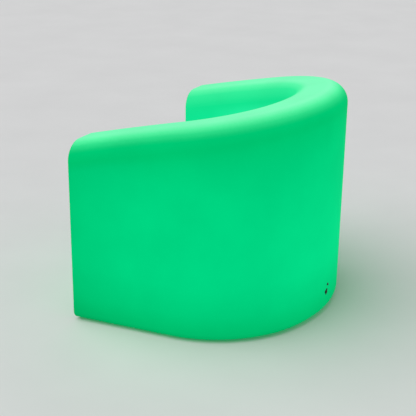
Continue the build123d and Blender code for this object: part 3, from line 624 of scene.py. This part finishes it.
# %% Stand the feet on their points
one_foot = bpy.data.objects.new("one_foot", foot_mesh)
tree, given = new_tree(
    "feet_on_points",
    {"Points": "NodeSocketGeometry", "Foot": "NodeSocketObject", "Rubber": "NodeSocketMaterial"},
)
foot_shape = make_node(tree, "GeometryNodeObjectInfo", {0: given["Foot"]}).outputs["Geometry"]
stood = make_node(tree, "GeometryNodeInstanceOnPoints", {0: given["Points"], 2: foot_shape})
end_tree(tree, stood.outputs[0], given["Rubber"])

point_mesh = bpy.data.meshes.new("foot_points")
point_mesh.from_pydata(foot_places, [], [])
foot_sizes = {"Foot": one_foot, "Rubber": finishes["black_rubber"]}
feet = grow_piece("rubber_feet", tree, foot_sizes, start_mesh=point_mesh)
bpy.data.objects.remove(one_foot)
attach(feet, "seat")
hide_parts("seat_feet")

# %% [markdown]
# ## Grips on the charging cap
# A fingernail has to lift the wet rubber cap, so its rim has small pips and its pull tab three bars. They
# are made lying flat, in the cap's own axes: X towards the hinge, Z outwards. A matrix then sets them on
# the cap, whose place follows from the socket and the hinge.

# %% Find the cap
cap_radius, cap_lift = 0.0046, 0.0001
tab_thickness = 0.0010

joints = {joint["name"]: joint for joint in frame["joints"]}
socket_low, socket_high = (Vector(corner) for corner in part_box("charge_socket_body"))
socket_middle = (socket_low + socket_high) / 2
to_hinge = Vector(joints["cap_hinge"]["pos_m"]) - socket_middle
to_hinge.y = 0.0
cap_x = to_hinge.normalized()
cap_z = Vector((0.0, 1.0, 0.0))
cap_turn = Matrix((cap_x, cap_z.cross(cap_x), cap_z)).transposed().to_4x4()
cap_middle = (socket_middle.x, socket_high.y + cap_lift, socket_middle.z)
cap_place = Matrix.Translation(cap_middle) @ cap_turn
print("cap at", [round(v, 4) for v in cap_middle], "hinge", round(to_hinge.length, 4), "m away")

# %% [markdown]
# Pips and bars are the same thing in two sizes: a short rod that thins at both ends. A circle swept along
# a line makes the rod, and an arch over the line's length sets its thickness at each point.

# %% Make a rounded bar
bar_points, bar_sides = 9, 10
arch_power, arch_top = 4.0, 1.04  # a flat-topped arch that ends a little above nothing


def rounded_bar(tree, start, end, radius):
    """Bar from start to end, thinner at both ends."""
    line = make_node(tree, "GeometryNodeCurvePrimitiveLine", {0: start, 1: end})
    fine = make_node(tree, "GeometryNodeResampleCurve", {0: line.outputs[0], 2: bar_points})
    share = make_node(tree, "GeometryNodeSplineParameter").outputs[0]
    off_middle = math_step(tree, "ABSOLUTE", math_step(tree, "MULTIPLY_ADD", share, 2.0, -1.0))
    fall = math_step(tree, "POWER", off_middle, arch_power)
    arch = math_step(tree, "SQRT", math_step(tree, "SUBTRACT", arch_top, fall))
    rim = make_node(tree, "GeometryNodeCurvePrimitiveCircle", {0: bar_sides, 4: radius})
    swept = {0: fine.outputs[0], 1: rim.outputs[0], 2: arch, 3: True}
    return make_node(tree, "GeometryNodeCurveToMesh", swept).outputs[0]


print("a bar has", bar_points * bar_sides, "points")

# %% [markdown]
# The pips stand on a ring of points round the cap. The strap and the tab leave the cap at two places, so
# the points there are deleted by their bearing: 0 towards the hinge, half a turn towards the tab.

# %% Lay out the pips
tree, given = new_tree(
    "cap_grips",
    {
        "Pips": "NodeSocketInt",
        "Ring radius": "NodeSocketFloat",
        "Pip radius": "NodeSocketFloat",
        "Pip length": "NodeSocketFloat",
        "Strap gap": "NodeSocketFloat",
        "Tab gap": "NodeSocketFloat",
        "Bars": "NodeSocketInt",
        "Bar radius": "NodeSocketFloat",
        "Bar length": "NodeSocketFloat",
        "First bar": "NodeSocketVector",
        "Bar step": "NodeSocketVector",
        "Rubber": "NodeSocketMaterial",
    },
)
ring_points = make_node(tree, "GeometryNodeMeshCircle", {0: given["Pips"], 1: given["Ring radius"]})
spot_x, spot_y = split_axes(tree, make_node(tree, "GeometryNodeInputPosition").outputs[0])[:2]
bearing = math_step(tree, "ABSOLUTE", math_step(tree, "ARCTAN2", spot_y, spot_x))
tab_start = math_step(tree, "SUBTRACT", math.pi, given["Tab gap"])
at_strap = math_step(tree, "LESS_THAN", bearing, given["Strap gap"])
at_tab = math_step(tree, "GREATER_THAN", bearing, tab_start)
taken = math_step(tree, "MAXIMUM", at_strap, at_tab)
free_points = make_node(
    tree, "GeometryNodeDeleteGeometry", {0: ring_points.outputs[0], 1: taken}, domain="POINT"
)
pip_end = make_node(tree, "ShaderNodeCombineXYZ", {2: given["Pip length"]}).outputs[0]
pip = rounded_bar(tree, (0.0, 0.0, 0.0), pip_end, given["Pip radius"])
pips = make_node(tree, "GeometryNodeInstanceOnPoints", {0: free_points.outputs[0], 2: pip})
print("pips laid out")

# %% [markdown]
# The bars lie across the tab, one behind the other on a short line of points. Pips and bars are joined in
# the same tree and come out as one piece that swings with the cap.

# %% Lay out the bars and grow the grips
half_bar = math_step(tree, "MULTIPLY", given["Bar length"], 0.5)
bar_start = make_node(tree, "ShaderNodeCombineXYZ", {1: math_step(tree, "MULTIPLY", half_bar, -1.0)})
bar_end = make_node(tree, "ShaderNodeCombineXYZ", {1: half_bar})
bar = rounded_bar(tree, bar_start.outputs[0], bar_end.outputs[0], given["Bar radius"])
tab_line = {0: given["Bars"], 2: given["First bar"], 3: given["Bar step"]}
tab_points = make_node(tree, "GeometryNodeMeshLine", tab_line)
bars = make_node(tree, "GeometryNodeInstanceOnPoints", {0: tab_points.outputs[0], 2: bar})
grips_both = make_node(tree, "GeometryNodeJoinGeometry", {0: pips.outputs[0]})
tree.links.new(bars.outputs[0], grips_both.inputs[0])
end_tree(tree, grips_both.outputs[0], given["Rubber"])

grip_sizes = {
    "Pips": 28,
    "Ring radius": cap_radius,
    "Pip radius": 0.00022,
    "Pip length": 0.00075,
    "Strap gap": math.radians(24),
    "Tab gap": math.radians(40),
    "Bars": 3,
    "Bar radius": 0.00025,
    "Bar length": 0.0030,
    "First bar": (-0.0055, 0.0, tab_thickness),
    "Bar step": (-0.0008, 0.0, 0.0),
    "Rubber": finishes["black_rubber"],
}
grips = grow_piece("cap_grips", tree, grip_sizes, place=cap_place)
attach(grips, "charge_cap")

# %% [markdown]
# ## Spring of the push button
# Under the button a wire spring pushes it back out. The drawing only holds a sleeve of its outer size,
# which gives the coil its radius and length. A spiral curve with a round profile swept along it is the
# wire itself.

# %% Wind the wire
tree, given = new_tree(
    "wire_spring",
    {
        "Points per turn": "NodeSocketInt",
        "Turns": "NodeSocketFloat",
        "Coil radius": "NodeSocketFloat",
        "Length": "NodeSocketFloat",
        "Wire radius": "NodeSocketFloat",
        "Wire sides": "NodeSocketInt",
        "Metal": "NodeSocketMaterial",
    },
)
coil_inputs = {
    0: given["Points per turn"],
    1: given["Turns"],
    2: given["Coil radius"],
    3: given["Coil radius"],
    4: given["Length"],
}
coil = make_node(tree, "GeometryNodeCurveSpiral", coil_inputs)
wire = make_node(tree, "GeometryNodeCurvePrimitiveCircle", {0: given["Wire sides"], 4: given["Wire radius"]})
wound = make_node(tree, "GeometryNodeCurveToMesh", {0: coil.outputs[0], 1: wire.outputs[0], 3: True})
end_tree(tree, wound.outputs[0], given["Metal"])
print("spring tree has", len(tree.nodes), "nodes")

# %% [markdown]
# The spiral is wound along Z, so it is laid along the button's axis. When the button is pressed the wire
# shortens towards its fixed end.

# %% Set the spring behind the button
wire_radius = 0.0002

spring_low, spring_high = (Vector(corner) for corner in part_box("power_button_spring"))
spring_length = spring_high.y - spring_low.y
spring_x = (spring_low.x + spring_high.x) / 2
spring_z = (spring_low.z + spring_high.z) / 2
spring_sizes = {
    "Points per turn": 24,
    "Turns": 5.0,
    "Coil radius": (spring_high.x - spring_low.x) / 2 - wire_radius,
    "Length": spring_length - 2 * wire_radius,
    "Wire radius": wire_radius,
    "Wire sides": 10,
    "Metal": finishes["steel"],
}
spring_turn = Matrix.Rotation(math.radians(-90), 4, "X")
spring_place = Matrix.Translation((spring_x, spring_low.y + wire_radius, spring_z)) @ spring_turn
spring = grow_piece("button_spring_wire", tree, spring_sizes, place=spring_place)
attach(spring, "seat")
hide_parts("power_button_spring")
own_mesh(spring)

# %% [markdown]
# ## Floor
# The seat stands on a plain pale floor, large enough that its edge is far behind the seat. Its grey
# varies very little, so that it doesn't look like paper, and it takes the shadow and the green light.

# %% Lay the floor
floor_size = 30.0

floor_form = bmesh.new()
bmesh.ops.create_grid(floor_form, x_segments=1, y_segments=1, size=floor_size)
floor_mesh = bpy.data.meshes.new("floor")
floor_form.to_mesh(floor_mesh)
floor_form.free()
material, tree, shader, coords = new_finish("pale_floor")
dust = noise(tree, coords.outputs["Object"], 3.0, 4.0)
tree.links.new(two_tones(tree, dust, (0.77, 0.77, 0.77), (0.80, 0.80, 0.80)), shader.inputs["Base Color"])
shader.inputs["Roughness"].default_value = 0.85
shader.inputs["Specular IOR Level"].default_value = 0.1
floor_mesh.materials.append(material)
floor = bpy.data.objects.new("floor", floor_mesh)
bpy.context.scene.collection.objects.link(floor)
print("floor is", 2 * floor_size, "m wide")

# %% [markdown]
# ## Light
# A very wide, soft sun from above and an even pale sky keep every colour near to how it is written, and
# the seat's own light falls on the floor round it. A small lamp would put hard glints on the rubber. The
# sky that is seen, or mirrored, is as pale as the far floor, so that no horizon shows in a low view. The
# sky that lights the seat stays as it is.

# %% Light the studio
sky_light = 0.42
sky_colour = (0.92, 0.93, 0.94, 1.0)
backdrop_colour = (0.645, 0.645, 0.645, 1.0)

sun_data = bpy.data.lights.new("soft_sun", "SUN")
sun_data.energy = 1.6
sun_data.angle = math.radians(70)
sun = bpy.data.objects.new("soft_sun", sun_data)
sun.rotation_euler = (math.radians(25), math.radians(20), 0.0)
bpy.context.scene.collection.objects.link(sun)

world = bpy.data.worlds.new("pale_sky")
world.use_nodes = True
tree = world.node_tree
tree.nodes.clear()
sky = make_node(tree, "ShaderNodeBackground", {0: sky_colour, 1: sky_light})
backdrop = make_node(tree, "ShaderNodeBackground", {0: backdrop_colour, 1: 1.0})
rays = make_node(tree, "ShaderNodeLightPath").outputs
mirrored = math_step(tree, "MAXIMUM", rays["Is Glossy Ray"], rays["Is Transmission Ray"])
seen = math_step(tree, "MAXIMUM", rays["Is Camera Ray"], mirrored)
mixed = make_node(tree, "ShaderNodeMixShader", {0: seen, 1: sky.outputs[0], 2: backdrop.outputs[0]})
make_node(tree, "ShaderNodeOutputWorld", {0: mixed.outputs[0]})
bpy.context.scene.world = world
print("sun", sun_data.energy, "and sky", sky_light)
